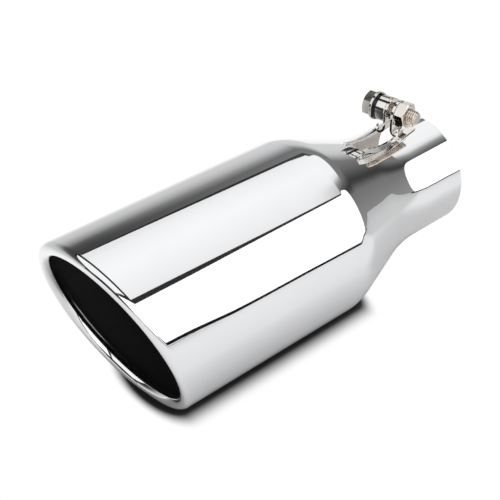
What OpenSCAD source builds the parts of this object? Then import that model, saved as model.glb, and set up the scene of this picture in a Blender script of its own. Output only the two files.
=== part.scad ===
// Bolt-on exhaust tip in polished stainless sheet, in millimetres.
// The origin is the centre of the inlet's end face. The tip runs along Y, with its mouth toward -Y,
// and the clamp stands on top, toward +Z.

/* [Body] */
// Outer diameter of the body (a 4 inch outlet)
body_diameter = 101.6; // [96:0.1:108]
// Thickness of the sheet
sheet = 1.0; // [0.8:0.1:1.5]
// Length on the axis, from the inlet's end to the plane of the lip
axis_length = 214; // [190:1:240]
// Distance from the inlet's end to the corner where the cone would meet the body
shoulder_corner = 90.5; // [82:0.5:100]
// Outer radius of the rounded shoulder
shoulder_radius = 31; // [15:1:40]

/* [Mouth] */
// Tilt of the mouth's plane from square
mouth_slant = 16; // [0:1:25]
// Angle round the axis from the clamp to the longest side of the mouth
mouth_turn = 18; // [-45:1:45]
// Outer radius of the rolled lip
lip_radius = 3.6; // [2.5:0.1:4.5]
// How far round the lip is rolled, in degrees
lip_roll = 250; // [180:5:290]

/* [Neck] */
// Inner diameter of the neck, which goes over the tailpipe (2.5 inch)
neck_bore = 63.5; // [60:0.1:66]
// Distance from the inlet's end to the corner where the neck would meet the cone
neck_corner = 43; // [41:0.5:46]
// Radius of the hollow blend from neck to cone
blend_radius = 81; // [50:1:85]
// Width of the clamp slot
slot_width = 11; // [6:0.5:11]
// Length of the clamp slot
slot_length = 60; // [45:1:62]
// Radius of the two inner corners of the slot
slot_corner = 1.5; // [0.5:0.1:3]

/* [Clamp] */
// Angle of the whole clamp and its slot from the tip's axis, seen from above
clamp_skew = 10; // [-12:1:12]
// Distance from the inlet's end to where the skewed slot crosses the axis
skew_from_inlet = 33; // [21:1:45]
// Thickness of the ears
ear_sheet = 1.5; // [1:0.1:2]
// Clear space between the two ears at the bolt
ear_gap = 3; // [2:0.1:4]
// Outer radius of the bend at the foot of each ear
ear_bend = 3; // [2.5:0.1:3]
// Width of each foot beyond its bend
foot_width = 4; // [2:0.1:6]
// Height of the low edge that runs from each ear along the slot
edge_height = 1.8; // [1:0.1:3]
// Radius of the round fall from each ear to the low edge
edge_fall = 4; // [2:0.5:6]

/* [Bolt] */
// Thread diameter of the bolt and nut (M8)
bolt_diameter = 8; // [7:0.1:8.2]
// Length of the bolt under its head
bolt_length = 27; // [25:1:35]
// Distance of the bolt from the inlet's end
bolt_from_inlet = 21; // [16:0.5:21]
// Height of the bolt above the outside of the neck
bolt_rise = 11.3; // [11.3:0.1:14]
// Size across the flats of the bolt head and nut
hex_flats = 13; // [12:0.1:13]
// Thickness of the bolt head
head_thickness = 5.3; // [4:0.1:6]
// Thickness of the nut
nut_thickness = 6; // [5:0.1:7]
// How far a corner of the bolt head is turned from the top, toward the inlet
head_turn = 5; // [-30:1:30]
// How far a corner of the nut is turned from the top, toward the inlet
nut_turn = -13; // [-30:1:30]
// Outer diameter of the spacer sleeve
sleeve_diameter = 14.4; // [13:0.1:14.4]
// Inner diameter of the spacer sleeve
sleeve_bore = 11.5; // [9:0.1:12]
// Length of the spacer sleeve
sleeve_length = 6; // [5:0.5:12]

/* [Hidden] */
$fn = 96;

// Lengths that reach well past the part, for cutting
past = 1;
beyond = body_diameter;

// Outside of the sheet, and the angle of the cone between neck and body
body_r = body_diameter / 2;
neck_r = neck_bore / 2 + sheet;
cone_angle = atan2(body_r - neck_r, shoulder_corner - neck_corner);
shoulder_start = shoulder_corner + shoulder_radius * tan(cone_angle / 2);
neck_straight = neck_corner - blend_radius * tan(cone_angle / 2);

// The lip: its centre line, and a section that is a hair thinner than the wall, so that its root
// ends inside the wall
lip_ring_r = body_r - lip_radius;
lip_inset = 0.08;
lip_outer_r = lip_radius - lip_inset;
lip_inner_r = lip_radius - sheet + lip_inset;
lip_overlap = 0.2;
wall_end = lip_radius * tan(mouth_slant) + lip_overlap;
lip_root = 2 * wall_end + past;
lip_sections = 72;
lip_outer_steps = 10;
lip_inner_steps = 7;

// One ear, seen along the neck: plate, bend and foot
plate_in = ear_gap / 2;
plate_out = plate_in + ear_sheet;
bend_x = plate_out + ear_bend;
bend_y = sqrt(pow(neck_r + ear_sheet + ear_bend, 2) - pow(bend_x, 2));
foot_end = bend_x * neck_r / (neck_r + ear_sheet + ear_bend) + foot_width;
ear_r = sleeve_diameter / 2;
slot_half = slot_width / 2;
foot_sink = 1;
bolt_hole_clearance = 1.6;
bolt_hole = bolt_diameter + bolt_hole_clearance;

// Fasteners
bolt_height = neck_r + bolt_rise;
hex_corner_r = hex_flats / 2 / cos(30);
hex_turned_r = hex_corner_r + past;
hex_face_cut = 0.26;
hex_face_r = hex_flats / 2 - hex_face_cut;
hex_chamfer_angle = 30;
bolt_end_chamfer = 1;
thread_clearance = 0.05;
washer_diameter = 16;
washer_bore = 8.4;
washer_thickness = 1.6;
spring_diameter = 14.8;
spring_thickness = 2;
spring_split = 1.5;
spring_split_slope = 20;
// Places along the bolt of the inner face of each piece, from the middle of the clamp
spring_place = -plate_out - sleeve_length;
washer_place = spring_place - spring_thickness;
head_place = washer_place - washer_thickness;

// Lays the tip along Y, from standing on its inlet
module lying() {
    rotate([90, 0, 0]) children();
}

// Turns the clamp and its slot about an upright line through the tip's axis
module skewed() {
    translate([0, 0, skew_from_inlet]) rotate([0, clamp_skew, 0])
        translate([0, 0, -skew_from_inlet]) children();
}

// Sets a piece that stands on Z along the bolt, at a place from the middle of the clamp
module on_bolt(place) {
    lying() skewed() translate([place, bolt_height, bolt_from_inlet]) rotate([0, 90, 0]) children();
}

// Half outline of the sheet's outside, from the axis outward. A negative grow gives its inside.
module half_outline(grow = 0) {
    shoulder_x = body_r - shoulder_radius;
    blend_x = neck_r + blend_radius;
    shoulder_r = shoulder_radius + grow;
    blend_r = blend_radius - grow;
    normal = [cos(cone_angle), -sin(cone_angle)];
    difference() {
        union() {
            polygon([
                [0, -past],
                [neck_r + grow, -past],
                [neck_r + grow, neck_straight],
                [blend_x, neck_straight] - blend_r * normal,
                [shoulder_x, shoulder_start] + shoulder_r * normal,
                [body_r + grow, shoulder_start],
                [body_r + grow, axis_length + beyond],
                [0, axis_length + beyond]
            ]);
            // Round of the shoulder
            translate([shoulder_x, shoulder_start]) intersection() {
                circle(shoulder_r);
                polygon([[0, 0], 2 * shoulder_r * normal, [2 * shoulder_r, 0]]);
            }
        }
        // Hollow of the blend
        translate([blend_x, neck_straight]) intersection() {
            circle(blend_r);
            polygon([[0, 0], [-2 * blend_r, 0], -2 * blend_r * normal]);
        }
    }
}

// Solid within the sheet's outside, or within its inside
module full_form(grow = 0) {
    rotate_extrude() half_outline(grow);
}

// Everything past the end of the wall, on the mouth's side
module past_wall() {
    rotate([0, 0, mouth_turn]) translate([0, 0, axis_length - wall_end]) rotate([mouth_slant, 0, 0])
        translate([-beyond, -beyond, 0]) cube(2 * beyond);
}

// Slot along the top of the neck, open at the inlet
module slot_cut() {
    rotate([-90, 0, 0]) linear_extrude(beyond) {
        translate([-slot_half, slot_corner - slot_length])
            square([slot_width, slot_length + slot_width]);
        translate([slot_corner - slot_half, -slot_length])
            square([slot_width - 2 * slot_corner, slot_length]);
        for (side = [-1, 1])
            translate([side * (slot_half - slot_corner), slot_corner - slot_length])
                circle(slot_corner);
    }
}

// Section of the lip: distance outward and distance toward the mouth, from its centre line
function on_arc(radius, angle) = radius * [cos(angle), sin(angle)];
lip_section = [
    [lip_outer_r, -lip_root],
    for (i = [0:lip_outer_steps]) on_arc(lip_outer_r, lip_roll * i / lip_outer_steps),
    for (i = [lip_inner_steps:-1:0]) on_arc(lip_inner_r, lip_roll * i / lip_inner_steps),
    [lip_inner_r, -lip_root]
];

// One point of the lip, at an angle round the tip
function lip_point(angle, p) =
    let (
        outward = [cos(angle), sin(angle), 0],
        rise = tan(mouth_slant) * cos(angle - mouth_turn),
        forward = [rise * sin(angle), -rise * cos(angle), 1] / norm([rise, 1]),
        height = axis_length + lip_ring_r * tan(mouth_slant) * sin(angle - mouth_turn)
    )
    lip_ring_r * outward + [0, 0, height] + p.x * outward + p.y * forward;

// Lip rolled inward from the wall, swept round the slanted edge
module rolled_lip() {
    count = len(lip_section);
    points = [
        for (i = [0:lip_sections - 1], p = lip_section) lip_point(360 * i / lip_sections, p)
    ];
    function at(i, j) = (i % lip_sections) * count + j % count;
    faces = [
        for (i = [0:lip_sections - 1], j = [0:count - 1])
            each [
                [at(i, j), at(i, j + 1), at(i + 1, j + 1)],
                [at(i, j), at(i + 1, j + 1), at(i + 1, j)]
            ]
    ];
    polyhedron(points, faces);
}

// Body, cone, neck and lip, in one piece of sheet
module tip_shell() {
    color("gainsboro") lying() {
        difference() {
            full_form();
            full_form(-sheet);
            past_wall();
            translate([-beyond, -beyond, -beyond]) cube([2 * beyond, 2 * beyond, beyond]);
            skewed() slot_cut();
        }
        rolled_lip();
    }
}

// Section of the ear on the nut's side, seen along the neck
module ear_section() {
    to_axis = [bend_x, bend_y];
    // Upright plate
    translate([plate_in, bend_y]) square([ear_sheet, bolt_height + ear_r + past - bend_y]);
    // Bend
    translate(to_axis) intersection() {
        difference() {
            circle(ear_bend + ear_sheet);
            circle(ear_bend);
        }
        polygon([[0, 0], [-beyond, 0], -to_axis]);
    }
    // Foot, lying on the neck, and so deep that the neck can trim it once it is skewed
    intersection() {
        difference() {
            circle(neck_r + ear_sheet);
            circle(neck_r - foot_sink);
        }
        polygon([[0, 0], 2 * to_axis, [beyond, beyond], [beyond, 0]]);
        square([foot_end, beyond]);
    }
}

// Extrudes an outline, drawn along the neck and upward, across the clamp
module across(start, end) {
    translate([end, 0, 0]) rotate([0, -90, 0]) linear_extrude(end - start) children();
}

// Strip of sheet beside the slot, from the ear to the slot's far end
module edge_strip() {
    start = bolt_from_inlet + ear_r - past;
    across(slot_half, slot_half + ear_sheet) translate([start, 0])
        square([slot_length - start, beyond]);
}

// Round fall from the ear to the low edge
module edge_fall_round() {
    start = bolt_from_inlet + ear_r;
    base = sqrt(pow(neck_r, 2) - pow(slot_half + ear_sheet, 2));
    across(slot_half, slot_half + ear_sheet) difference() {
        translate([start - past, base - foot_sink])
            square([edge_fall + past, edge_height + edge_fall + foot_sink]);
        translate([start + edge_fall, base + edge_height + edge_fall]) circle(edge_fall);
    }
}

// Plate, bend and foot of an ear, with its hole for the bolt
module bent_plate() {
    difference() {
        intersection() {
            linear_extrude(bolt_from_inlet + 2 * ear_r) ear_section();
            across(-past, foot_end + past) {
                translate([bolt_from_inlet, bolt_height]) circle(ear_r);
                translate([bolt_from_inlet - ear_r, 0]) square([2 * ear_r, bolt_height]);
            }
        }
        translate([0, bolt_height, bolt_from_inlet]) rotate([0, 90, 0])
            cylinder(h = foot_end, d = bolt_hole);
    }
}

// Sets half of the clamp on its side of the slot: 1 is the nut's side, and -1 the sleeve's
module on_side(side) {
    skewed() {
        if (side > 0) children();
        else mirror([1, 0, 0]) children();
    }
}

// One ear with the low edge that runs from it along the slot and up the cone
module ear(side) {
    color("gainsboro") lying() difference() {
        union() {
            on_side(side) {
                bent_plate();
                edge_fall_round();
            }
            intersection() {
                full_form(edge_height);
                on_side(side) edge_strip();
            }
        }
        full_form();
    }
}

module nut_ear() {
    ear(1);
}

module sleeve_ear() {
    ear(-1);
}

// Hexagon with its corners turned off at the far face, and for a nut at the near one too
module hex(thickness, turn, both_faces = false) {
    drop = (hex_turned_r - hex_face_r) * tan(hex_chamfer_angle);
    intersection() {
        linear_extrude(thickness) rotate(30 - turn) circle(hex_corner_r, $fn = 6);
        rotate_extrude() polygon([
            [0, 0],
            [both_faces ? hex_face_r : hex_turned_r, 0],
            [hex_turned_r, both_faces ? drop : 0],
            [hex_turned_r, thickness - drop],
            [hex_face_r, thickness],
            [0, thickness]
        ]);
    }
}

module clamp_bolt() {
    shank_r = bolt_diameter / 2;
    color("silver") on_bolt(head_place) {
        mirror([0, 0, 1]) hex(head_thickness, head_turn);
        rotate_extrude() polygon([
            [0, -head_thickness / 2],
            [shank_r, -head_thickness / 2],
            [shank_r, bolt_length - bolt_end_chamfer],
            [shank_r - bolt_end_chamfer, bolt_length],
            [0, bolt_length]
        ]);
    }
}

// Plain ring standing on Z
module ring(outer, inner, thickness) {
    difference() {
        cylinder(h = thickness, d = outer);
        translate([0, 0, -past]) cylinder(h = thickness + 2 * past, d = inner);
    }
}

module flat_washer() {
    color("silver") on_bolt(washer_place - washer_thickness)
        ring(washer_diameter, washer_bore, washer_thickness);
}

module spring_washer() {
    color("dimgray") on_bolt(spring_place - spring_thickness) difference() {
        ring(spring_diameter, washer_bore, spring_thickness);
        translate([0, spring_diameter / 2, spring_thickness / 2]) rotate([0, spring_split_slope, 0])
            cube([spring_split, spring_diameter, 4 * spring_thickness], center = true);
    }
}

module spacer_sleeve() {
    color("gainsboro") on_bolt(spring_place) ring(sleeve_diameter, sleeve_bore, sleeve_length);
}

module clamp_nut() {
    color("silver") on_bolt(plate_out) difference() {
        hex(nut_thickness, nut_turn, both_faces = true);
        translate([0, 0, -past])
            cylinder(h = nut_thickness + 2 * past, d = bolt_diameter + 2 * thread_clearance);
    }
}

tip_shell();
sleeve_ear();
nut_ear();
clamp_bolt();
flat_washer();
spring_washer();
spacer_sleeve();
clamp_nut();
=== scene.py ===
# %% [markdown]
# # A polished exhaust tip with its clamp
# This lesson dresses the measured model of a bolt-on exhaust tip. The measured pieces come from the
# frame, and each is modelled again here with the rounded edges, the cut thread and the bent sheet
# that give a real tip its look. The metal is a mirror, so half of the work is the studio round it.

# %% Frame
from math import acos, atan2, ceil, cos, degrees, hypot, pi, radians, sin, sqrt, tan

import bmesh
import bpy
from mathutils import Matrix, Quaternion, Vector


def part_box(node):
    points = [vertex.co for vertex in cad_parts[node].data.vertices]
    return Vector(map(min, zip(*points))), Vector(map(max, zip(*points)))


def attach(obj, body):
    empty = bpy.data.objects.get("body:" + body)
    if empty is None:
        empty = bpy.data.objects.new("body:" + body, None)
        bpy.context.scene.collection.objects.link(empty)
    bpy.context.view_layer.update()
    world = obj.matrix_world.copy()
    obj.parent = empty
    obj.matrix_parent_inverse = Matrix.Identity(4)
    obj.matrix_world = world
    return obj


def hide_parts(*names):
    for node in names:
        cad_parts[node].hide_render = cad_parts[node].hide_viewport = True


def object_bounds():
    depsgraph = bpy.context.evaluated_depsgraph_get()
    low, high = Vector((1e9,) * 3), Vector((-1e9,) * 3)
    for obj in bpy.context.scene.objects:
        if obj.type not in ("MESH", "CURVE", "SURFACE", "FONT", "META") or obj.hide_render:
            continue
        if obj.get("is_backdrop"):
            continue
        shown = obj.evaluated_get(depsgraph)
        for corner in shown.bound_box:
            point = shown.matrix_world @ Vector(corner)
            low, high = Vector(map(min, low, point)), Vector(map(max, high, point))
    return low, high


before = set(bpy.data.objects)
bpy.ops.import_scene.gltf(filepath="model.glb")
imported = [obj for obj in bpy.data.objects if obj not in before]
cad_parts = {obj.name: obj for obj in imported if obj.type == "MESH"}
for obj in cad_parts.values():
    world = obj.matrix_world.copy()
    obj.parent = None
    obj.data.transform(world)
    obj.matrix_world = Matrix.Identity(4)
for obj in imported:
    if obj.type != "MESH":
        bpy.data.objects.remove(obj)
cad_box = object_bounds()
scene = bpy.context.scene
print("measured nodes:", ", ".join(sorted(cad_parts)))

# %% [markdown]
# ## Sizes
# A maker works from a drawing, and so does this file. What the frame can tell is read from it: the
# body's radius, the height of the bolt and where each piece sits along it. The rest are the
# drawing's own values, in millimetres.
# Each piece is modelled standing up, with the neck's end on the ground and the mouth on top, because
# that is how a sheet is turned and measured. It is laid down at the end.

# %% Sizes from the frame, in millimetres
MM = 0.001


def box_mm(node):
    """Lowest and highest corner of a measured node, in millimetres."""
    low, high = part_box(node)
    return low / MM, high / MM


shell_low, shell_high = box_mm("tip_shell")
sleeve_low, sleeve_high = box_mm("spacer_sleeve")
flat_low, flat_high = box_mm("flat_washer")
spring_low, spring_high = box_mm("spring_washer")

BODY_R = shell_high.x
BOLT_HEIGHT = (sleeve_low.z + sleeve_high.z) / 2
SLEEVE_R = (sleeve_high.z - sleeve_low.z) / 2
FLAT_R = (flat_high.z - flat_low.z) / 2
SPRING_R = (spring_high.z - spring_low.z) / 2
FLOOR = shell_low.z
print(f"body radius {BODY_R:.1f}, bolt {BOLT_HEIGHT:.1f} up, sleeve radius {SLEEVE_R:.1f}")

# %% Sizes from the drawing, in millimetres and degrees
SHEET = 1.0
NECK_R = 32.75
NECK_CORNER = 43.0
BLEND_RADIUS = 81.0
SHOULDER_CORNER = 90.5
SHOULDER_RADIUS = 31.0
AXIS_LENGTH = 214.0

MOUTH_SLANT = 16.0
MOUTH_TURN = 18.0
LIP_RADIUS = 3.6
LIP_ROLL = 250.0
LIP_SET_BACK = 0.15

SLOT_WIDTH = 11.0
SLOT_LENGTH = 60.0
SLOT_CORNER = 1.5
CLAMP_SKEW = 10.0
SKEW_FROM_INLET = 33.0

EAR_SHEET = 1.5
EAR_GAP = 3.0
EAR_BEND = 3.0
FOOT_WIDTH = 4.0
EAR_R = SLEEVE_R
EDGE_HEIGHT = 1.8
EDGE_FALL = 4.0
EDGE_OVERLAP = 0.4
EDGE_SINK = 0.3

BOLT_R = 4.0
BOLT_LENGTH = 27.0
BOLT_FROM_INLET = 21.0
HOLE_R = 4.8
WASHER_BORE_R = 4.2
SLEEVE_BORE_R = 5.75
SLEEVE_LENGTH = 6.0
SPRING_THICKNESS = 2.0
FLAT_THICKNESS = 1.6
HEX_FLATS = 13.0
HEX_FACE_CUT = 0.26
HEX_FACE_LEAN = 30
HEAD_THICKNESS = 5.3
HEAD_TURN = 5.0
NUT_THICKNESS = 6.0
NUT_TURN = -13.0
NUT_COUNTERSINK = 0.4
THREAD_PITCH = 1.25
THREAD_DEPTH = 0.6
THREAD_CLEARANCE = 0.05
POINT_LENGTH = 1.0
SPRING_OPENING = 1.5
SPRING_SLANT = 20.0

INLET_EDGE = 0.2
EAR_EDGE = 0.35
HEX_EDGE = 0.12

# %% Lengths that follow from them
CONE_ANGLE = atan2(BODY_R - NECK_R, SHOULDER_CORNER - NECK_CORNER)
SHOULDER_START = SHOULDER_CORNER + SHOULDER_RADIUS * tan(CONE_ANGLE / 2)
NECK_STRAIGHT = NECK_CORNER - BLEND_RADIUS * tan(CONE_ANGLE / 2)
LIP_RING_R = BODY_R - LIP_RADIUS
PLATE_IN = EAR_GAP / 2
PLATE_OUT = PLATE_IN + EAR_SHEET
BEND_X = PLATE_OUT + EAR_BEND
BEND_Y = sqrt((NECK_R + EAR_SHEET + EAR_BEND) ** 2 - BEND_X**2)
FOOT_END = BEND_X * NECK_R / (NECK_R + EAR_SHEET + EAR_BEND) + FOOT_WIDTH
SLOT_HALF = SLOT_WIDTH / 2
SPRING_PLACE = -PLATE_OUT - SLEEVE_LENGTH
FLAT_PLACE = SPRING_PLACE - SPRING_THICKNESS
HEAD_PLACE = FLAT_PLACE - FLAT_THICKNESS
print(f"cone {degrees(CONE_ANGLE):.1f} degrees, shoulder ends {SHOULDER_START:.1f} from the inlet")

# %% [markdown]
# ## Making meshes
# A few small helpers carry the modelling. A chain of points is what a turner would cut as a
# template. Spinning it makes a turned form. A cut with a plane trims a mesh as a saw does. The last
# helper lays a standing mesh along the axis, turns it to metres and hands it to the frame. It keeps
# an edge sharp wherever two faces meet at more than SHARP_ANGLE, so that mirrors stay clean up to
# their rims.

# %% Chains and spins
TURNED_STEPS = 96
SHARP_ANGLE = radians(14)
MERGE_DISTANCE = 1e-3


def chain(bm, points, closed=False):
    """Joins points into a line of edges."""
    verts = [bm.verts.new(point) for point in points]
    edges = [bm.edges.new(pair) for pair in zip(verts, verts[1:])]
    if closed:
        edges.append(bm.edges.new((verts[-1], verts[0])))
    return edges


def ends_of(edges):
    """The points of some edges, each once. A dict keeps their order, where a set would give
    another one in each run."""
    return list(dict.fromkeys(vert for edge in edges for vert in edge.verts))


def spin(bm, edges, steps, angle=360, centre=(0, 0, 0), climb=0):
    """Sweeps edges round an upright axis, and up by climb on the way. Gives the last edges."""
    full = angle == 360 and climb == 0
    made = bmesh.ops.spin(
        bm, geom=ends_of(edges) + edges, cent=centre, axis=(0, 0, 1), dvec=(0, 0, climb / steps),
        angle=radians(angle), steps=steps, use_merge=full, use_duplicate=False,
        use_normal_flip=False,
    )
    return [item for item in made["geom_last"] if isinstance(item, bmesh.types.BMEdge)]


def arc(centre, radius, start, end, steps):
    """Points on an arc in the drawing's plane: out from the axis, and up. Angles in degrees."""
    turn = [radians(start + (end - start) * step / steps) for step in range(steps + 1)]
    return [Vector((centre[0] + radius * cos(a), 0, centre[1] + radius * sin(a))) for a in turn]


def merge_and_face_out(bm):
    """Closes seams, then turns every face outward."""
    bmesh.ops.remove_doubles(bm, verts=bm.verts, dist=MERGE_DISTANCE)
    bmesh.ops.recalc_face_normals(bm, faces=bm.faces)


# %% Cuts and rounded edges
def cut(bm, point, normal, near=None, keep_all=True):
    """Cuts the faces near a place with a plane. Without keep_all, what lies past it goes."""
    faces = [face for face in bm.faces if near is None or near(face.calc_center_median())]
    edges = dict.fromkeys(edge for face in faces for edge in face.edges)
    verts = dict.fromkeys(vert for face in faces for vert in face.verts)
    return bmesh.ops.bisect_plane(
        bm, geom=[*faces, *edges, *verts], dist=1e-5, plane_co=point, plane_no=normal,
        clear_outer=not keep_all, clear_inner=False, use_snap_center=False,
    )


def round_edges(bm, width, steps=2, least=radians(50), near=None, clamp=True):
    """Breaks the sharp edges, as a deburring wheel does. Clamp keeps the width below what the
    faces beside an edge have room for. Empty faces that the bevel leaves are cleared."""
    edges = [
        edge for edge in bm.edges
        if edge.is_manifold and edge.calc_face_angle() > least
        and (near is None or near((edge.verts[0].co + edge.verts[1].co) / 2))
    ]
    bmesh.ops.bevel(
        bm, geom=edges, offset=width, offset_type="OFFSET", segments=steps, profile=0.5,
        affect="EDGES", clamp_overlap=clamp, material=-1,
    )
    bmesh.ops.dissolve_degenerate(bm, dist=MERGE_DISTANCE, edges=bm.edges)


# %% Handing a piece over
LYING = Matrix.Scale(MM, 4) @ Matrix.Rotation(radians(90), 4, "X")
SKEWED = (
    Matrix.Translation((0, 0, SKEW_FROM_INLET)) @ Matrix.Rotation(radians(CLAMP_SKEW), 4, "Y")
    @ Matrix.Translation((0, 0, -SKEW_FROM_INLET))
)


def on_bolt(place=0.0):
    """Where a piece that stands on Z goes along the bolt, measured from the middle of the clamp."""
    across = Matrix.Translation((place, BOLT_HEIGHT, BOLT_FROM_INLET))
    return SKEWED @ across @ Matrix.Rotation(radians(90), 4, "Y")


def hand_over(bm, name, material, replaces=(), place=Matrix.Identity(4), more=()):
    """Lays a piece down in metres, shades it and gives it to the frame. More holds the finishes
    past the first."""
    for face in bm.faces:
        face.smooth = True
    for edge in bm.edges:
        edge.smooth = not edge.is_manifold or edge.calc_face_angle() < SHARP_ANGLE
    bmesh.ops.transform(bm, matrix=LYING @ place, verts=bm.verts)
    mesh = bpy.data.meshes.new(name)
    bm.to_mesh(mesh)
    bm.free()
    for finish in (material, *more):
        mesh.materials.append(finish)
    piece = bpy.data.objects.new(name, mesh)
    scene.collection.objects.link(piece)
    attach(piece, "root")
    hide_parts(*replaces)
    print(f"{name}: {len(mesh.polygons)} faces")
    return piece


# %% [markdown]
# ## Finishes
# Every metal here is bare. What tells one from another is how it was finished: the shell was buffed
# to a mirror, the ears were pressed from bright sheet, the bolt is plated, and the spring washer is
# dark. So each finish is a metal of its own colour with its own roughness, and small
# bumps at the scale that the work leaves behind.

# %% Colours and nodes
def linear(code):
    """A colour that is written as on a screen, turned to the light it stands for."""
    parts = [int(code[i : i + 2], 16) / 255 for i in (1, 3, 5)]
    return [p / 12.92 if p <= 0.04045 else ((p + 0.055) / 1.055) ** 2.4 for p in parts] + [1.0]


def node(tree, kind, inputs=(), out=None, **settings):
    """Adds a node with its settings, and sets or links its inputs. Gives the node, or its output
    of the name in out."""
    made = tree.nodes.new(kind)
    for name, value in settings.items():
        setattr(made, name, value)
    for name, value in dict(inputs).items():
        if isinstance(value, bpy.types.NodeSocket):
            tree.links.new(value, made.inputs[name])
        else:
            made.inputs[name].default_value = value
    return made if out is None else made.outputs[out]


def new_material(name):
    """An empty material, with its tree."""
    material = bpy.data.materials.new(name)
    material.use_nodes = True
    material.node_tree.nodes.clear()
    return material, material.node_tree


# %% A buffed, pressed or plated metal
def metal(name, bright, dull, roughness, smudge_mm, grain_mm, grain_height_mm, wave_mm, wave_height):
    """A bare metal. Its tone and roughness drift over smudge_mm, and its bumps are grain_mm wide.
    Slower waves are wave_mm wide. Their height is in metres, or a function that adds it to a tree."""
    material, tree = new_material(name)
    place = node(tree, "ShaderNodeTexCoord", out="Object")
    drift = node(tree, "ShaderNodeTexNoise", {
        "Vector": place, "Scale": 1 / (smudge_mm * MM), "Detail": 3.0, "Roughness": 0.55,
    }, "Fac")
    tone = node(tree, "ShaderNodeMix", {
        "Factor": drift, "A": linear(dull), "B": linear(bright),
    }, "Result", data_type="RGBA")
    sheen = node(tree, "ShaderNodeMapRange", {
        "Value": drift, "To Min": roughness[0], "To Max": roughness[1],
    }, "Result")
    swell = node(tree, "ShaderNodeTexNoise", {
        "Vector": place, "Scale": 1 / (wave_mm * MM), "Detail": 0.0,
    }, "Fac")
    slow = node(tree, "ShaderNodeBump", {
        "Height": swell, "Strength": 1.0,
        "Distance": wave_height(tree) if callable(wave_height) else wave_height,
    }, "Normal")
    grain = node(tree, "ShaderNodeTexNoise", {
        "Vector": place, "Scale": 1 / (grain_mm * MM), "Detail": 2.0,
    }, "Fac")
    fine = node(tree, "ShaderNodeBump", {
        "Height": grain, "Strength": 1.0, "Distance": grain_height_mm * MM, "Normal": slow,
    }, "Normal")
    shader = node(tree, "ShaderNodeBsdfPrincipled", {
        "Base Color": tone, "Metallic": 1.0, "Roughness": sheen, "Normal": fine,
    }, "BSDF")
    node(tree, "ShaderNodeOutputMaterial", {"Surface": shader})
    return material


# %% Where the sheet was drawn in
# Places along the axis in metres, and the height of the waves at each.
STRAIGHT_AT, WAVY_AT = -0.095, -0.065
STRAIGHT_HEIGHT, WAVY_HEIGHT = 0.004 * MM, 0.12 * MM


def drawn_in_waves(tree):
    """Height of the shell's waves. The body was rolled and stays straight, but the cone and the
    neck were drawn in over a mandrel, which leaves shallow waves that no buffing takes out."""
    place = node(tree, "ShaderNodeTexCoord", out="Object")
    along = node(tree, "ShaderNodeSeparateXYZ", {"Vector": place}, "Y")
    return node(tree, "ShaderNodeMapRange", {
        "Value": along, "From Min": STRAIGHT_AT, "From Max": WAVY_AT,
        "To Min": STRAIGHT_HEIGHT, "To Max": WAVY_HEIGHT,
    }, "Result", interpolation_type="SMOOTHSTEP")


# %% The tip's metals
# Stainless sheet buffed to a mirror: nearly white, with only a faint haze where the wheel left wax.
buffed_stainless = metal(
    "buffed_stainless", "#f2f2f3", "#eaebed", (0.02, 0.05), smudge_mm=60, grain_mm=0.5,
    grain_height_mm=0.0002, wave_mm=17, wave_height=drawn_in_waves,
)
# Bright sheet, bent in a press after it was polished: it keeps its shine but is less even.
pressed_stainless = metal(
    "pressed_stainless", "#efedea", "#dcd8d4", (0.06, 0.14), smudge_mm=9, grain_mm=0.6,
    grain_height_mm=0.002, wave_mm=7, wave_height=0.03 * MM,
)
# Plated steel of the bolt and nut: bright, and a little warm.
bright_plating = metal(
    "bright_plating", "#efebe4", "#d2ccc3", (0.10, 0.20), smudge_mm=5, grain_mm=0.35,
    grain_height_mm=0.003, wave_mm=6, wave_height=0.01 * MM,
)
# The thread is cut through the plating, so it is browner and rougher than the head.
cut_thread = metal(
    "cut_thread", "#e6dcd2", "#bfafa2", (0.18, 0.32), smudge_mm=3, grain_mm=0.3,
    grain_height_mm=0.004, wave_mm=5, wave_height=0.0,
)
# Hardened spring steel, dark.
dark_spring_steel = metal(
    "dark_spring_steel", "#4a484b", "#2a292c", (0.22, 0.38), smudge_mm=3, grain_mm=0.5,
    grain_height_mm=0.004, wave_mm=5, wave_height=0.0,
)


# %% The inside of the sheet
# The inside was never buffed. It is satin grey where the pipe goes in, and near-black further on,
# between these places along the axis in metres.
DARK_START, DARK_FULL = -0.045, -0.085


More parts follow.
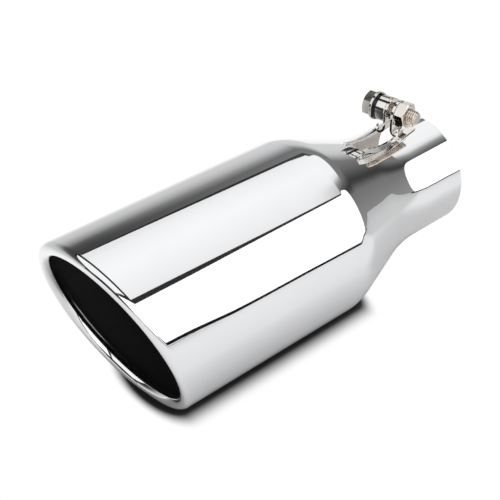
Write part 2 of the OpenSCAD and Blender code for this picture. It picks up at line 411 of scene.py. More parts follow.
def unbuffed_wall():
    """Satin inner wall that turns near-black further on, with the faint lines that rolling left along
    it.
    """
    material, tree = new_material("unbuffed_inner_wall")
    place = node(tree, "ShaderNodeTexCoord", out="Object")
    along = node(tree, "ShaderNodeSeparateXYZ", {"Vector": place}, "Y")
    # Share of the near-black tone: none near the inlet, all of it further on.
    dark_share = node(tree, "ShaderNodeMapRange", {
        "Value": along, "From Min": DARK_START, "From Max": DARK_FULL,
    }, "Result", interpolation_type="SMOOTHSTEP")
    stretched = node(tree, "ShaderNodeMapping", {
        "Vector": place, "Scale": (1 / (2.0 * MM), 1 / (90 * MM), 1 / (2.0 * MM)),
    }, "Vector")
    lines = node(tree, "ShaderNodeTexNoise", {"Vector": stretched, "Scale": 1.0, "Detail": 3.0}, "Fac")
    satin, near_black = (
        node(tree, "ShaderNodeMix", {
            "Factor": lines, "A": linear(dark), "B": linear(light),
        }, "Result", data_type="RGBA")
        for dark, light in (("#b9b2ab", "#d6cfc8"), ("#141415", "#1f1f20"))
    )
    tone = node(tree, "ShaderNodeMix", {
        "Factor": dark_share, "A": satin, "B": near_black,
    }, "Result", data_type="RGBA")
    bare = node(tree, "ShaderNodeMapRange", {"Value": dark_share, "To Min": 1.0, "To Max": 0.0}, "Result")
    rough = node(tree, "ShaderNodeMapRange", {"Value": dark_share, "To Min": 0.28, "To Max": 0.62}, "Result")
    bump = node(tree, "ShaderNodeBump", {
        "Height": lines, "Strength": 0.6, "Distance": 0.02 * MM,
    }, "Normal")
    shader = node(tree, "ShaderNodeBsdfPrincipled", {
        "Base Color": tone, "Metallic": bare, "Roughness": rough, "Normal": bump,
    }, "BSDF")
    node(tree, "ShaderNodeOutputMaterial", {"Surface": shader})
    return material


inner_wall = unbuffed_wall()
print("finishes:", ", ".join(material.name for material in bpy.data.materials))

# %% [markdown]
# ## The shell
# On the real tip one sheet makes the neck, the cone, the body and the lip, so one spun outline makes
# them here. It could be lofted ring by ring, but a spin keeps every ring truly round, and a
# mirror shows the smallest flat.
# The mouth is cut on a slant. Spinning gives a square mouth, so afterwards the straight wall is
# stretched, further on one side than on the other, and the lip's section is set on the slanted rim.

# %% Outline of the sheet's outside
SHELL_STEPS = 288
LIP_STEPS = 30
# The lip stands back by a hair, so that the dressed tip stays inside the measured length.
WALL_TOP = AXIS_LENGTH - LIP_SET_BACK

cone_degrees = degrees(CONE_ANGLE)
neck_to_cone = arc(
    (NECK_R + BLEND_RADIUS, NECK_STRAIGHT), BLEND_RADIUS, 180, 180 - cone_degrees, 18
)
shoulder = arc(
    (BODY_R - SHOULDER_RADIUS, SHOULDER_START), SHOULDER_RADIUS, -cone_degrees, 0, 18
)
lip = arc((LIP_RING_R, WALL_TOP), LIP_RADIUS, 0, LIP_ROLL, LIP_STEPS)
outline = [Vector((NECK_R, 0, 0)), *neck_to_cone, *shoulder, *lip]
print(f"outline of {len(outline)} points")


# %% Slanting the mouth
def lip_point(angle, out, forward):
    """Where a point of the lip's section goes, at an angle round the tip."""
    outward = Vector((cos(angle), sin(angle), 0))
    rise = tan(radians(MOUTH_SLANT)) * cos(angle - radians(MOUTH_TURN))
    onward = Vector((rise * sin(angle), -rise * cos(angle), 1)).normalized()
    climb = tan(radians(MOUTH_SLANT)) * sin(angle - radians(MOUTH_TURN))
    centre = LIP_RING_R * outward + Vector((0, 0, AXIS_LENGTH + LIP_RING_R * climb))
    return centre + out * outward + forward * onward


def slant_mouth(bm):
    """Stretches the straight wall to the slanted rim, and sets the lip on it."""
    for vert in bm.verts:
        if vert.co.z > WALL_TOP - 2 * LIP_RADIUS:
            out = hypot(vert.co.x, vert.co.y) - LIP_RING_R
            vert.co = lip_point(atan2(vert.co.y, vert.co.x), out, vert.co.z - AXIS_LENGTH)


# %% Cutting the clamp slot
def in_slot(place):
    """True inside the slot, which has two rounded inner corners."""
    place = SKEWED.inverted() @ place
    if place.y < 0 or abs(place.x) > SLOT_HALF or place.z > SLOT_LENGTH:
        return False
    past_x = abs(place.x) - (SLOT_HALF - SLOT_CORNER)
    past_z = place.z - (SLOT_LENGTH - SLOT_CORNER)
    return past_x < 0 or past_z < 0 or hypot(past_x, past_z) < SLOT_CORNER


def near_slot(place):
    """True close to the slot, where the shell may be cut."""
    return place.y > 0 and abs(place.x) < 2 * SLOT_WIDTH and place.z < SLOT_LENGTH + SLOT_WIDTH


def cut_skewed(bm, point, normal, near):
    """Cuts with a plane that is given before the clamp is skewed."""
    cut(bm, SKEWED @ Vector(point), SKEWED.to_3x3() @ Vector(normal), near)


def cut_slot(bm):
    """Cuts the shell along the slot's outline and takes out what is inside."""
    for side in (-1, 1):
        cut_skewed(bm, (side * SLOT_HALF, 0, 0), (1, 0, 0), near_slot)
    cut_skewed(bm, (0, 0, SLOT_LENGTH), (0, 0, 1), near_slot)
    for side in (-1, 1):
        corner = Vector((side * (SLOT_HALF - SLOT_CORNER), 0, SLOT_LENGTH - SLOT_CORNER))
        middle = SKEWED @ corner
        for angle in (15, 30, 45, 60, 75):
            way = Vector((side * cos(radians(angle)), 0, sin(radians(angle))))
            cut_skewed(
                bm, corner + SLOT_CORNER * way, way,
                lambda place: place.y > 0
                and hypot(place.x - middle.x, place.z - middle.z) < 2.5 * SLOT_CORNER,
            )
    gone = [face for face in bm.faces if in_slot(face.calc_center_median())]
    bmesh.ops.delete(bm, geom=gone, context="FACES")


# %% Spinning the shell and giving it its wall
def on_inlet_rim(place):
    """True on the two round edges of the inlet's end face. The slot's edges stay as the laser
    left them."""
    from_middle = hypot(place.x, place.y) - (NECK_R - SHEET / 2)
    return place.z < 1e-3 and abs(from_middle) > SHEET / 4


def make_shell():
    """Neck, cone, body and rolled lip in one sheet."""
    bm = bmesh.new()
    spin(bm, chain(bm, outline), SHELL_STEPS)
    merge_and_face_out(bm)
    slant_mouth(bm)
    cut_slot(bm)
    outside = set(bm.faces)
    bmesh.ops.solidify(bm, geom=bm.faces[:], thickness=SHEET)
    for face in bm.faces:
        face.material_index = 0 if face in outside else 1
    round_edges(bm, INLET_EDGE, near=on_inlet_rim, clamp=False)
    return hand_over(
        bm, "tip_shell_sheet", buffed_stainless, ["tip_shell"],
        more=[inner_wall],
    )


shell = make_shell()
shell_corners = [shell.matrix_world @ Vector(corner) for corner in shell.bound_box]
print("shell spans", [round(max(c[i] for c in shell_corners) / MM, 2) for i in range(3)])

# %% [markdown]
# ## The clamp ears
# Each ear was punched flat, with a round top and a bolt hole, then bent over so that its foot lies
# on the neck. The mesh is made the same way. A circle whose lower half is pulled down is the
# blank, and bridging it to the hole leaves the hole open. The bend and the foot are two spins of
# its lower edge. Beside the slot a low edge runs on from each ear, up the cone.


# %% Radius of the shell along its axis
def surface_r(z):
    """Outer radius of neck, blend and cone at a distance from the inlet."""
    if z < NECK_STRAIGHT:
        return NECK_R
    blend_end = NECK_STRAIGHT + BLEND_RADIUS * sin(CONE_ANGLE)
    if z < blend_end:
        return NECK_R + BLEND_RADIUS - sqrt(BLEND_RADIUS**2 - (z - NECK_STRAIGHT) ** 2)
    blend_r = NECK_R + BLEND_RADIUS * (1 - cos(CONE_ANGLE))
    return blend_r + (z - blend_end) * tan(CONE_ANGLE)


# %% Punching and bending an ear
def bend_ear(bm):
    """The ear on the nut's side: blank, bend and foot, then its thickness."""
    plane = Matrix.Translation((PLATE_IN, BOLT_HEIGHT, BOLT_FROM_INLET))
    plane = plane @ Matrix.Rotation(radians(90), 4, "Y")
    segments = 48
    blank = bmesh.ops.create_circle(
        bm, cap_ends=False, segments=segments, radius=EAR_R, matrix=plane
    )["verts"]
    bmesh.ops.create_circle(bm, cap_ends=False, segments=32, radius=HOLE_R, matrix=plane)
    widest = cos(2 * pi / segments)
    lower = [vert for vert in blank if vert.co.y < BOLT_HEIGHT - 1e-3]
    for vert in lower:
        vert.co.y = BEND_Y
        vert.co.z = BOLT_FROM_INLET + (vert.co.z - BOLT_FROM_INLET) / widest
    bmesh.ops.bridge_loops(bm, edges=bm.edges[:])
    hem = [edge for edge in bm.edges if all(vert in lower for vert in edge.verts)]
    foot_at = atan2(BEND_Y, BEND_X)
    hem = spin(bm, hem, 14, degrees(foot_at), centre=(BEND_X, BEND_Y, 0))
    spin(bm, hem, 4, degrees(acos(FOOT_END / NECK_R) - foot_at))
    merge_and_face_out(bm)
    plate = max(bm.faces, key=lambda face: face.calc_center_median().y)
    if plate.normal.x > 0:
        bmesh.ops.reverse_faces(bm, faces=bm.faces)
    bmesh.ops.solidify(bm, geom=bm.faces[:], thickness=EAR_SHEET)


# %% The low edge beside the slot
def raise_edge(bm):
    """Strip of the same sheet that stands along the slot and falls away from the ear."""
    start = BOLT_FROM_INLET + EAR_R - EDGE_OVERLAP
    fall_start = BOLT_FROM_INLET + EAR_R
    steps = 36
    outer = SLOT_HALF + EAR_SHEET
    made = bmesh.ops.create_grid(
        bm, x_segments=steps, y_segments=1, size=0.5,
        matrix=Matrix.Translation((SLOT_HALF, 0, 0)) @ Matrix.Rotation(radians(-90), 4, "Y"),
    )["verts"]
    for vert in made:
        share = vert.co.z + 0.5
        z = start + share * (SLOT_LENGTH - start)
        into_fall = max(0.0, fall_start + EDGE_FALL - max(z, fall_start))
        rise = EDGE_HEIGHT + EDGE_FALL - sqrt(EDGE_FALL**2 - into_fall**2)
        foot = sqrt(surface_r(z) ** 2 - outer**2) - EDGE_SINK
        top = sqrt(surface_r(z) ** 2 - SLOT_HALF**2) + rise
        vert.co = Vector((SLOT_HALF, top if vert.co.y > 0 else foot, z))
    faces = list(dict.fromkeys(face for vert in made for face in vert.link_faces))
    if faces[0].normal.x > 0:
        bmesh.ops.reverse_faces(bm, faces=faces)
    bmesh.ops.solidify(bm, geom=faces, thickness=EAR_SHEET)


# %% Both ears
def skew_on_neck(bm):
    """Turns an ear with the clamp. What lies on the shell keeps its distance from it."""
    for vert in bm.verts:
        height = hypot(vert.co.x, vert.co.y) - surface_r(vert.co.z)
        hold = min(1.0, max(0.0, (BEND_Y - vert.co.y) / EAR_BEND))
        vert.co = SKEWED @ vert.co
        on_shell = sqrt((surface_r(vert.co.z) + height) ** 2 - vert.co.x**2)
        vert.co.y += hold * (on_shell - vert.co.y)


def make_ear(name, node_name, mirrored):
    """One ear with its edge. The other side's is its mirror image."""
    bm = bmesh.new()
    bend_ear(bm)
    raise_edge(bm)
    round_edges(bm, EAR_EDGE, steps=3)
    if mirrored:
        bmesh.ops.scale(bm, vec=(-1, 1, 1), verts=bm.verts)
        bmesh.ops.reverse_faces(bm, faces=bm.faces)
    skew_on_neck(bm)
    return hand_over(bm, name, pressed_stainless, [node_name])


make_ear("nut_ear_sheet", "nut_ear", mirrored=False)
make_ear("sleeve_ear_sheet", "sleeve_ear", mirrored=True)

# %% [markdown]
# ## Bolt, nut, washers and sleeve
# These are turned and cut parts. A hexagon whose corners were turned off at the end is a prism,
# trimmed by a ring of planes that lean like the turning tool. The thread is a zigzag spun once
# round while it climbs by one pitch, so that each tooth meets the next and the helix is whole.


# %% Turned rings and hexagons
def turned_ring(outer, inner, thickness, edge):
    """Ring with broken edges, standing on its end."""
    bm = bmesh.new()
    section = [(inner, 0, 0), (outer, 0, 0), (outer, 0, thickness), (inner, 0, thickness)]
    spin(bm, chain(bm, section, closed=True), TURNED_STEPS)
    merge_and_face_out(bm)
    round_edges(bm, edge)
    return bm


def trim(bm, point, normal):
    """Saws off what lies past a plane, and closes the cut."""
    cut(bm, point, normal, keep_all=False)
    rim = [edge for edge in bm.edges if edge.is_boundary]
    if rim:
        bmesh.ops.holes_fill(bm, edges=rim, sides=0)


def hexagon(bm, thickness, turn, ends):
    """Hexagon across HEX_FLATS, its corners turned off at the named ends, 1 top and 0 bottom."""
    corner_r = HEX_FLATS / 2 / cos(radians(30))
    face_r = HEX_FLATS / 2 - HEX_FACE_CUT
    bmesh.ops.create_cone(
        bm, cap_ends=True, segments=6, radius1=corner_r, radius2=corner_r, depth=thickness,
        matrix=Matrix.Translation((0, 0, thickness / 2)) @ Matrix.Rotation(radians(turn), 4, "Z"),
    )
    steps = 48
    for end in ends:
        for step in range(steps):
            angle = 2 * pi * (step + 0.5) / steps
            way = Vector((cos(angle), sin(angle), 0))
            outward = Vector((0, 0, 2 * end - 1))
            lean = way * sin(radians(HEX_FACE_LEAN)) + outward * cos(radians(HEX_FACE_LEAN))
            trim(bm, face_r * way + Vector((0, 0, end * thickness)), lean)


# %% Cutting the thread
def threaded_rod(bm, start, end, point_length):
    """Rod with a cut thread, and a turned point at its end."""
    root_r = BOLT_R - THREAD_DEPTH
    half = THREAD_PITCH / 2
    teeth = ceil((end - start) / THREAD_PITCH) + 2
    first = start - THREAD_PITCH
    zigzag = []
    for tooth in range(teeth):
        foot = first + tooth * THREAD_PITCH
        zigzag += [
            (root_r, 0, foot), (root_r, 0, foot + 0.15 * half),
            (BOLT_R, 0, foot + 0.9 * half), (BOLT_R, 0, foot + 1.2 * half),
        ]
    spin(bm, chain(bm, zigzag), 40, climb=THREAD_PITCH)
    merge_and_face_out(bm)
    trim(bm, (0, 0, start), (0, 0, -1))
    trim(bm, (0, 0, end), (0, 0, 1))
    for vert in bm.verts:
        reach = BOLT_R - max(0.0, vert.co.z - (end - point_length))
        wide = hypot(vert.co.x, vert.co.y)
        if wide > reach:
            vert.co.x *= reach / wide
            vert.co.y *= reach / wide


# %% Bolt
def make_bolt():
    """Hexagon head and threaded shank. The head's outer face looks away from the nut."""
    bm = bmesh.new()
    hexagon(bm, HEAD_THICKNESS, HEAD_TURN, ends=[1])
    bmesh.ops.rotate(bm, verts=bm.verts, cent=(0, 0, 0), matrix=Matrix.Rotation(pi, 3, "X"))
    round_edges(bm, HEX_EDGE, least=radians(40))
    hand_over(bm, "bolt_head", bright_plating, ["clamp_bolt"], on_bolt(HEAD_PLACE))
    bm = bmesh.new()
    threaded_rod(bm, -0.5, BOLT_LENGTH, point_length=POINT_LENGTH)
    hand_over(bm, "bolt_thread", cut_thread, place=on_bolt(HEAD_PLACE))


make_bolt()


# %% Nut
def make_nut():
    """Hexagon turned at both ends, with a bore that clears the thread's tips."""
    bore_r = BOLT_R + THREAD_CLEARANCE
    bm = bmesh.new()
    hexagon(bm, NUT_THICKNESS, -NUT_TURN, ends=[0, 1])
    caps = [face for face in bm.faces if abs(face.normal.z) > 0.99]
    rims = [[edge for edge in face.edges] for face in caps]
    bmesh.ops.delete(bm, geom=caps, context="FACES_ONLY")
    bores = []
    for rim in rims:
        height = rim[0].verts[0].co.z
        inward = NUT_COUNTERSINK if height < NUT_THICKNESS / 2 else -NUT_COUNTERSINK
        mouth = bmesh.ops.create_circle(
            bm, cap_ends=False, segments=48, radius=bore_r + NUT_COUNTERSINK,
            matrix=Matrix.Translation((0, 0, height)),
        )["verts"]
        throat = bmesh.ops.create_circle(
            bm, cap_ends=False, segments=48, radius=bore_r,
            matrix=Matrix.Translation((0, 0, height + inward)),
        )["verts"]
        mouth_edges = [edge for edge in bm.edges if all(vert in mouth for vert in edge.verts)]
        throat_edges = [edge for edge in bm.edges if all(vert in throat for vert in edge.verts)]
        bmesh.ops.bridge_loops(bm, edges=rim + mouth_edges)
        bmesh.ops.bridge_loops(bm, edges=mouth_edges + throat_edges)
        bores += throat_edges
    bmesh.ops.bridge_loops(bm, edges=bores)
    merge_and_face_out(bm)
    round_edges(bm, HEX_EDGE, least=radians(40))
    hand_over(bm, "nut", bright_plating, ["clamp_nut"], on_bolt(PLATE_OUT))


make_nut()


# %% Sleeve and flat washer
def make_turned_parts():
    """Bright sleeve, and the flat washer under the bolt's head."""
    sleeve = turned_ring(SLEEVE_R, SLEEVE_BORE_R, SLEEVE_LENGTH, edge=0.3)
    hand_over(
        sleeve, "sleeve_tube", pressed_stainless, ["spacer_sleeve"],
        on_bolt(SPRING_PLACE),
    )
    washer = turned_ring(FLAT_R, WASHER_BORE_R, FLAT_THICKNESS, edge=0.25)
    hand_over(
        washer, "flat_washer_ring", bright_plating, ["flat_washer"],
        on_bolt(HEAD_PLACE),
    )


make_turned_parts()


# %% Spring washer
def make_spring_washer():
    """Ring of square wire, cut through on a slant."""
    thickness = SPRING_THICKNESS
    middle = (SPRING_R + WASHER_BORE_R) / 2
    opening = degrees(SPRING_OPENING / middle)
    bm = bmesh.new()
    section = [
        (WASHER_BORE_R, 0, 0), (SPRING_R, 0, 0), (SPRING_R, 0, thickness),
        (WASHER_BORE_R, 0, thickness),
    ]
    first = chain(bm, section, closed=True)
    start = Matrix.Rotation(radians(90 + opening / 2), 3, "Z")
    bmesh.ops.rotate(bm, verts=bm.verts, cent=(0, 0, 0), matrix=start)
    spin(bm, first, 90, 360 - opening)
    bmesh.ops.holes_fill(bm, edges=[edge for edge in bm.edges if edge.is_boundary], sides=0)
    merge_and_face_out(bm)
    for vert in bm.verts:
        lean = (vert.co.z - thickness / 2) * tan(radians(SPRING_SLANT)) / middle
        vert.co.rotate(Matrix.Rotation(lean, 3, "Z"))
    round_edges(bm, 0.2)
    hand_over(
        bm, "spring_washer_ring", dark_spring_steel, ["spring_washer"],
        on_bolt(FLAT_PLACE),
    )


make_spring_washer()

# %% [markdown]
# ## Studio
# A mirror has no look of its own. The photographer put two long softboxes beside each other, one
# overhead and one on the camera's side, with a dark gap between them, a dim wall on the far side
# and a dark room beyond. Here each is a glowing card bent round the tip's axis, given by its angle
# from straight up toward the camera's side, and by where it starts and ends along the axis.
# The near softbox has a dark rim, which shows as the thin line low on the body, and two pale cards
# close the studio in front of the mouth.
# The camera doesn't see the cards. The floor is white, and a lamp that mirrors don't see lights it.


# %% Light that only mirrors show
def glow(name, strength):
    """A surface that gives white light. Its strength is a number, or a function that adds it to a
    tree. The floor gets none of it by way of the mirror, which would wash out the shadow: a path
    that met something matt before has a diffuse depth of one."""
    material, tree = new_material(name)
    depth = node(tree, "ShaderNodeLightPath", out="Diffuse Depth")
    fresh = node(tree, "ShaderNodeMath", {0: depth, 1: 0.5}, "Value", operation="LESS_THAN")
    light = node(tree, "ShaderNodeMath", {
        0: strength(tree) if callable(strength) else strength, 1: fresh,
    }, "Value", operation="MULTIPLY")
    shader = node(tree, "ShaderNodeEmission", {
        "Color": linear("#ffffff"), "Strength": light,
    }, "Emission")
    node(tree, "ShaderNodeOutputMaterial", {"Surface": shader})
    return material


def ramp(tree, value, stops):
    """A number that runs through the stops, given as pairs of place and strength."""
    low, high = stops[0][0], stops[-1][0]
    share = node(tree, "ShaderNodeMapRange", {
        "Value": value, "From Min": low, "From Max": high,
    }, "Result")
    made = node(tree, "ShaderNodeValToRGB", {"Fac": share})
    while len(made.color_ramp.elements) < len(stops):
        made.color_ramp.elements.new(1.0)
    for element, (place, strength) in zip(made.color_ramp.elements, stops):
        element.position = (place - low) / (high - low)
        element.color = (strength, strength, strength, 1.0)
    return made.outputs["Color"]


def around(tree):
    """Angle round the axis from straight up toward the camera's side, and place along the axis."""
    place = node(tree, "ShaderNodeTexCoord", out="Object")
    part = node(tree, "ShaderNodeSeparateXYZ", {"Vector": place}).outputs
    turn = node(tree, "ShaderNodeMath", {0: part["X"], 1: part["Z"]}, "Value", operation="ARCTAN2")
    return node(tree, "ShaderNodeMath", {0: turn}, "Value", operation="DEGREES"), part["Y"]


# %% Cards bent round the tip
def card(name, edges, strength, distance=1.0, rounding=0.0):
    """Card bent round the axis. Each row of edges gives a place along the axis, in metres, and the
    angles of both edges there. Rounding draws in the far corners, by so many metres."""
    bm = bmesh.new()
    bmesh.ops.create_grid(bm, x_segments=48, y_segments=96, size=1.0)
    start, end = edges[0][0], edges[-1][0]
    for vert in bm.verts:
        far = end - rounding * (1 - sqrt(max(0.0, 1 - vert.co.x**2)))
        along = start + (far - start) * (vert.co.y + 1) / 2
        for (y0, *from_angles), (y1, *to_angles) in zip(edges, edges[1:]):
            if y0 <= along <= y1:
                share = (along - y0) / (y1 - y0)
                low, high = (a + (b - a) * share for a, b in zip(from_angles, to_angles))
        turn = radians(low + (high - low) * (vert.co.x + 1) / 2)
        vert.co = Vector((distance * sin(turn), along, distance * cos(turn)))
    prop(bm, name, glow(name + "_light", strength))


def prop(bm, name, material):
    """A part of the studio that mirrors see, and nothing else does."""
    mesh = bpy.data.meshes.new(name)
    bm.to_mesh(mesh)
    bm.free()
    mesh.materials.append(material)
    made = bpy.data.objects.new(name, mesh)
    scene.collection.objects.link(made)
    made.visible_camera = made.visible_shadow = made.visible_diffuse = False
    made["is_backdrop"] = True


# %% The two softboxes
OVERHEAD_EDGES = [
    (0.05, -44, 29.0), (0.18, -42.3, 29.6), (0.42, -38.9, 31.0), (0.56, -37.6, 31.0),
    (0.65, -31.5, 31.0), (0.74, -34.0, 27.1), (1.0, -40, 26.8), (1.36, -40, 26.5),
]
NEAR_EDGES = [
    (-2.2, 35.2, 80), (0.23, 35.1, 89.6), (0.42, 34.0, 92.4), (0.62, 33.2, 92.7), (0.74, 27.2, 92.7),
    (1.4, 26.6, 92.7),
]
RIM_EDGES = [
    (-0.3, 78, 82), (-0.02, 84.5, 88.0), (0.04, 88.7, 92.0), (0.08, 89.8, 92.6), (0.15, 90.5, 93.2),
    (0.25, 92.8, 95.1), (0.36, 89.5, 91.6), (0.65, 89.8, 92.0),
]
FADE_START, FADE_FULL = 0.54, 0.72
FADE_LEAN = 20.0


def overhead_light(tree):
    """Even over the body. Past the neck it fades out toward the camera's side, and the fade leans
    by FADE_LEAN degrees a metre."""
    turn, along = around(tree)
    near = node(tree, "ShaderNodeMapRange", {
        "Value": along, "From Min": FADE_START, "From Max": FADE_FULL, "To Min": 1.0, "To Max": 0.0,
    }, "Result", interpolation_type="SMOOTHSTEP")
    leaning = node(tree, "ShaderNodeMath", {
        0: along, 1: FADE_LEAN, 2: turn,
    }, "Value", operation="MULTIPLY_ADD")
    faded = ramp(tree, leaning, [
        (0, 1.05), (17.6, 1.03), (21.6, 0.97), (25.6, 0.88), (28.6, 0.66), (32.6, 0.37), (36.6, 0.24),
        (40.6, 0.16), (44, 0.10), (50, 0.06),
    ])
    even = ramp(tree, turn, [
        (-38, 0.93), (-32, 1.0), (-20, 1.05), (-8, 1.08), (8, 1.04), (20, 1.0), (29, 0.96),
    ])
    return node(tree, "ShaderNodeMix", {"Factor": near, "A": faded, "B": even}, "Result")


card("overhead_softbox", OVERHEAD_EDGES, overhead_light, rounding=0.42)
card("near_softbox", NEAR_EDGES, 1.4, rounding=0.35)
card("softbox_rim", RIM_EDGES, 0.01, distance=0.5)


# %% The far wall, and what closes the studio in front of the mouth
FAR_WALL_EDGES = [(-2.2, -93, -45), (0.18, -93, -45), (1.4, -93, -34), (2.3, -93, -50)]


def wall_light(tree):
    """Brightest low down, and darker up to where the ceiling starts."""
    turn, along = around(tree)
    near = ramp(tree, turn, [
        (-100, 0.70), (-84, 0.60), (-76, 0.44), (-70, 0.30), (-64, 0.13), (-58, 0.08), (-50, 0.06),
    ])
    far = ramp(tree, turn, [
        (-100, 0.74), (-76, 0.70), (-68, 0.62), (-60, 0.40), (-52, 0.20), (-44, 0.22), (-30, 0.28),
    ])
    share = node(tree, "ShaderNodeMapRange", {
        "Value": along, "From Min": 0.15, "From Max": 0.65,
    }, "Result")
    return node(tree, "ShaderNodeMix", {"Factor": share, "A": near, "B": far}, "Result")


card("far_wall", FAR_WALL_EDGES, wall_light, distance=1.02)
card("overhead_front", [(-2.2, -41, 28), (-0.3, -41, 28)], 1.06)
card("front_wall", [(-2.4, -180, 180), (-2.2, -180, 180)], 0.8, distance=1.6)


# %% The dark room beyond
ROOM_RADIUS = 4.0
FOLD_SLOPE = 0.78


def room_light(tree):
    """Dim, and a little lighter far behind the inlet, with a dark fold there that runs on from the
    gap between the softboxes. The fold rises by FOLD_SLOPE degrees for each degree sideways."""
    place = node(tree, "ShaderNodeTexCoord", out="Object")
    part = node(tree, "ShaderNodeSeparateXYZ", {"Vector": place}).outputs
    aside = node(tree, "ShaderNodeMath", {0: part["X"], 1: part["Y"]}, "Value", operation="ARCTAN2")
    level = node(tree, "ShaderNodeVectorMath", {
        0: place, 1: (1.0, 1.0, 0.0),
    }, "Vector", operation="MULTIPLY")
    level = node(tree, "ShaderNodeVectorMath", {0: level}, "Value", operation="LENGTH")
    rise = node(tree, "ShaderNodeMath", {0: part["Z"], 1: level}, "Value", operation="ARCTAN2")
    fold = node(tree, "ShaderNodeMath", {
        0: aside, 1: -FOLD_SLOPE, 2: rise,
    }, "Value", operation="MULTIPLY_ADD")
    fold = node(tree, "ShaderNodeMath", {0: fold}, "Value", operation="DEGREES")
    beyond = ramp(tree, fold, [
        (-40, 0.33), (-12, 0.27), (8, 0.19), (15, 0.06), (18, 0.05), (22, 0.09), (30, 0.20), (50, 0.24),
    ])
    share = node(tree, "ShaderNodeMapRange", {
        "Value": part["Y"], "From Min": 2.0, "From Max": 3.0,
    }, "Result", interpolation_type="SMOOTHSTEP")
    return node(tree, "ShaderNodeMix", {"Factor": share, "A": 0.03, "B": beyond}, "Result")


def make_room():
    """Ball round the studio."""
    bm = bmesh.new()
    bmesh.ops.create_icosphere(bm, subdivisions=4, radius=ROOM_RADIUS)
    prop(bm, "dark_room", glow("room_light", room_light))


make_room()

# %% [markdown]
# ## Floor
# The floor shows pure white but for a soft dark shadow, close along the tip. So the floor
# is plain white to the eye from 4 cm on, and a matt surface that takes the shadow near the line
# where the body lies. The matt part's colour is painted darker toward that line, a painted shadow
# that deepens the lamp's real one under the round body. In the mirror it is matt too, but plain white
# further to the far side.

# %% Sizes of the floor's parts, in metres
FLOOR_RADIUS = 3.9
CONTACT_START = (shell_low.y + 36) * MM
CONTACT_END = -(SHOULDER_START - 23) * MM
PAST_END = 2.5
MATT_TO_WHITE = (0.026, 0.040)
MIRROR_WHITE = (0.05, 0.12)
# Painted shadow: the matt floor's colour, by distance from the line where the body lies.
PAINTED_SHADE_BY_DISTANCE = [
    (0.024, 0.03), (0.027, 0.06), (0.031, 0.35), (0.036, 0.55), (0.048, 0.68), (0.07, 0.78),
    (0.12, 0.92),
]
# Where painted shade makes the matt part darker behind the tip, and beside its neck.
BEHIND = (-0.03, 0.06)
PAST_NECK = (-0.07, -0.01)
NEAR_AXIS = (-0.14, -0.06)
SHADED_BY = 0.25
# The white that mirrors show is painted light falloff: it falls off to the far side, and less so past
# REACH_FROM.
REACH_FROM = -0.1
REACH_SLOPE = 0.6
WHITE_BY_REACH = [(0.18, 1.02), (0.26, 0.92), (0.42, 0.73), (0.66, 0.66)]


# %% Shades of the floor, with its painted shade
def from_contact(tree, part):
    """Distance from the line where the body lies, which counts for more past the line's ends."""
    along = node(tree, "ShaderNodeClamp", {
        "Value": part["Y"], "Min": CONTACT_START, "Max": CONTACT_END,
    }, "Result")
    past = node(tree, "ShaderNodeMath", {0: part["Y"], 1: along}, "Value", operation="SUBTRACT")
    past = node(tree, "ShaderNodeMath", {0: past, 1: PAST_END}, "Value", operation="MULTIPLY")
    away = node(tree, "ShaderNodeCombineXYZ", {"X": part["X"], "Y": past}, "Vector")
    return node(tree, "ShaderNodeVectorMath", {0: away}, "Value", operation="LENGTH")


def painted_shade_tone(tree, part, far_side, away):
    """Painted shadow: the matt colour is darker toward the line where the body lies, and painted shade
    makes it a little darker beside and behind the neck.
    """
    shade = ramp(tree, away, PAINTED_SHADE_BY_DISTANCE)
    behind = node(tree, "ShaderNodeMath", {0: part["Y"], 1: part["X"]}, "Value", operation="SUBTRACT")
    behind, by_neck, close = (
        node(tree, "ShaderNodeMapRange", {
            "Value": value, "From Min": start, "From Max": end,
        }, "Result", interpolation_type="SMOOTHSTEP")
        for value, start, end in (
            (behind, *BEHIND), (part["Y"], *PAST_NECK), (far_side, *NEAR_AXIS),
        )
    )
    beside = node(tree, "ShaderNodeMath", {0: by_neck, 1: close}, "Value", operation="MULTIPLY")
    dim = node(tree, "ShaderNodeMath", {0: behind, 1: beside}, "Value", operation="MAXIMUM")
    kept = node(tree, "ShaderNodeMath", {
        0: dim, 1: -SHADED_BY, 2: 1.0,
    }, "Value", operation="MULTIPLY_ADD")
    return node(tree, "ShaderNodeMath", {0: shade, 1: kept}, "Value", operation="MULTIPLY")


def white_share(tree, path, seen, away, far_side):
    """How much of the floor is plain white: to the eye past the shadow, and in mirrors on the far
    side, unless the path met something matt before."""
    clear, aside = (
        node(tree, "ShaderNodeMapRange", {
            "Value": value, "From Min": start, "From Max": end,
        }, "Result", interpolation_type="SMOOTHSTEP")
        for value, (start, end) in ((away, MATT_TO_WHITE), (far_side, MIRROR_WHITE))
    )
    eye = node(tree, "ShaderNodeMath", {0: seen, 1: clear}, "Value", operation="MULTIPLY")
    mirror = node(tree, "ShaderNodeMath", {
        0: path["Is Glossy Ray"], 1: aside,
    }, "Value", operation="MULTIPLY")
    share = node(tree, "ShaderNodeMath", {0: eye, 1: mirror}, "Value", operation="MAXIMUM")
    fresh = node(tree, "ShaderNodeMath", {
        0: path["Diffuse Depth"], 1: 0.5,
    }, "Value", operation="LESS_THAN")
    return node(tree, "ShaderNodeMath", {0: share, 1: fresh}, "Value", operation="MULTIPLY")


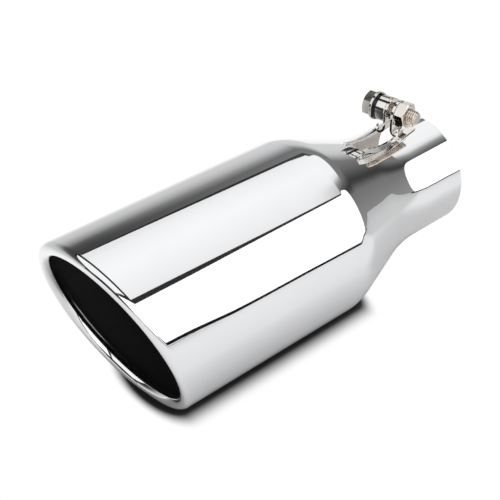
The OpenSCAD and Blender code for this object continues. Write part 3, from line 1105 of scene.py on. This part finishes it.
# %% Floor
def white_floor():
    """Matt white with painted shade near the body, which also holds the lamp's shadow, and plain white
    further from where the body lies.
    """
    material, tree = new_material("white_floor")
    place = node(tree, "ShaderNodeTexCoord", out="Object")
    part = node(tree, "ShaderNodeSeparateXYZ", {"Vector": place}).outputs
    path = node(tree, "ShaderNodeLightPath").outputs
    seen = node(tree, "ShaderNodeMath", {
        0: path["Is Camera Ray"], 1: path["Is Transmission Ray"],
    }, "Value", operation="MAXIMUM")
    far_side = node(tree, "ShaderNodeMath", {0: part["X"], 1: -1.0}, "Value", operation="MULTIPLY")
    away = from_contact(tree, part)
    onward = node(tree, "ShaderNodeMath", {
        0: part["Y"], 1: REACH_FROM,
    }, "Value", operation="MAXIMUM")
    reach = node(tree, "ShaderNodeMath", {
        0: onward, 1: -REACH_SLOPE, 2: far_side,
    }, "Value", operation="MULTIPLY_ADD")
    # Painted light falloff: mirrors see the floor's white fade with reach.
    bright = node(tree, "ShaderNodeMix", {
        "Factor": seen, "A": ramp(tree, reach, WHITE_BY_REACH), "B": 1.0,
    }, "Result")
    # The matt colour holds the painted shadow and the painted shade.
    matt = node(tree, "ShaderNodeBsdfDiffuse", {"Color": painted_shade_tone(tree, part, far_side, away)}, "BSDF")
    plain = node(tree, "ShaderNodeEmission", {
        "Color": linear("#ffffff"), "Strength": bright,
    }, "Emission")
    mixed = node(tree, "ShaderNodeMixShader", {
        0: white_share(tree, path, seen, away, far_side), 1: matt, 2: plain,
    }, "Shader")
    node(tree, "ShaderNodeOutputMaterial", {"Surface": mixed})
    return material


def make_floor():
    """Round floor under the body."""
    bm = bmesh.new()
    bmesh.ops.create_circle(
        bm, cap_ends=True, segments=96, radius=FLOOR_RADIUS,
        matrix=Matrix.Translation((0, 0, FLOOR * MM)),
    )
    mesh = bpy.data.meshes.new("floor")
    bm.to_mesh(mesh)
    bm.free()
    mesh.materials.append(white_floor())
    floor = bpy.data.objects.new("floor", mesh)
    scene.collection.objects.link(floor)
    floor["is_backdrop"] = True
    print(f"floor at {FLOOR:.1f} mm, {2 * FLOOR_RADIUS} m wide")


make_floor()


# %% World
EVEN_LIGHT = 0.8


def make_world():
    """White to the eye and to mirrors, and an even light to all else."""
    world = bpy.data.worlds.new("studio")
    world.use_nodes = True
    tree = world.node_tree
    tree.nodes.clear()
    path = node(tree, "ShaderNodeLightPath").outputs
    seen = path["Is Camera Ray"]
    for ray in ("Is Glossy Ray", "Is Transmission Ray"):
        seen = node(tree, "ShaderNodeMath", {0: seen, 1: path[ray]}, "Value", operation="MAXIMUM")
    even, white = (
        node(tree, "ShaderNodeBackground", {
            "Color": linear("#ffffff"), "Strength": strength,
        }, "Background")
        for strength in (EVEN_LIGHT, 1.0)
    )
    mixed = node(tree, "ShaderNodeMixShader", {0: seen, 1: even, 2: white}, "Shader")
    node(tree, "ShaderNodeOutputWorld", {"Surface": mixed})
    scene.world = world


make_world()


# %% Lamp for the floor
LAMP_AIM = Vector((0, -0.12, 0))


def floor_lamp(power, angle, size, distance=1.0):
    """Soft lamp on the camera's side, at an angle from straight up. Mirrors don't show it."""
    data = bpy.data.lights.new("floor_lamp", "AREA")
    data.shape, data.size, data.energy = "DISK", size, power
    lamp = bpy.data.objects.new("floor_lamp", data)
    scene.collection.objects.link(lamp)
    lamp.location = LAMP_AIM + distance * Vector((sin(radians(angle)), 0, cos(radians(angle))))
    lamp.rotation_euler = (LAMP_AIM - lamp.location).to_track_quat("-Z", "Y").to_euler()
    lamp.visible_glossy = False
    print(f"lamp {angle} degrees from straight up, {power} W")


floor_lamp(power=2.2, angle=24, size=0.25)

# %% [markdown]
# ## Camera
# The camera stands where the photographer's did: a little over half a metre off, above the mouth's
# side, with the tip turned so that both the mouth and the clamp show.

# %% Camera
CAMERA_PLACE = Vector((0.32153, -0.39219, 0.31610))
CAMERA_TARGET = Vector((-0.00839, -0.12238, -0.00431))
CAMERA_ROLL = -1.617
CAMERA_LENS = 71.86

camera_data = bpy.data.cameras.new("camera")
camera_data.lens, camera_data.sensor_width = CAMERA_LENS, 36
camera = bpy.data.objects.new("camera", camera_data)
scene.collection.objects.link(camera)
camera.location = CAMERA_PLACE
camera.rotation_mode = "QUATERNION"
camera.rotation_quaternion = (
    (CAMERA_TARGET - CAMERA_PLACE).to_track_quat("-Z", "Y")
    @ Quaternion((0, 0, 1), radians(CAMERA_ROLL))
)
scene.camera = camera
scene.view_settings.view_transform = "Standard"

# %% Sizes at the end
seen_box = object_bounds()
for name, corners in (("measured", cad_box), ("dressed", seen_box)):
    print(name, [[round(value / MM, 2) for value in corner] for corner in corners])
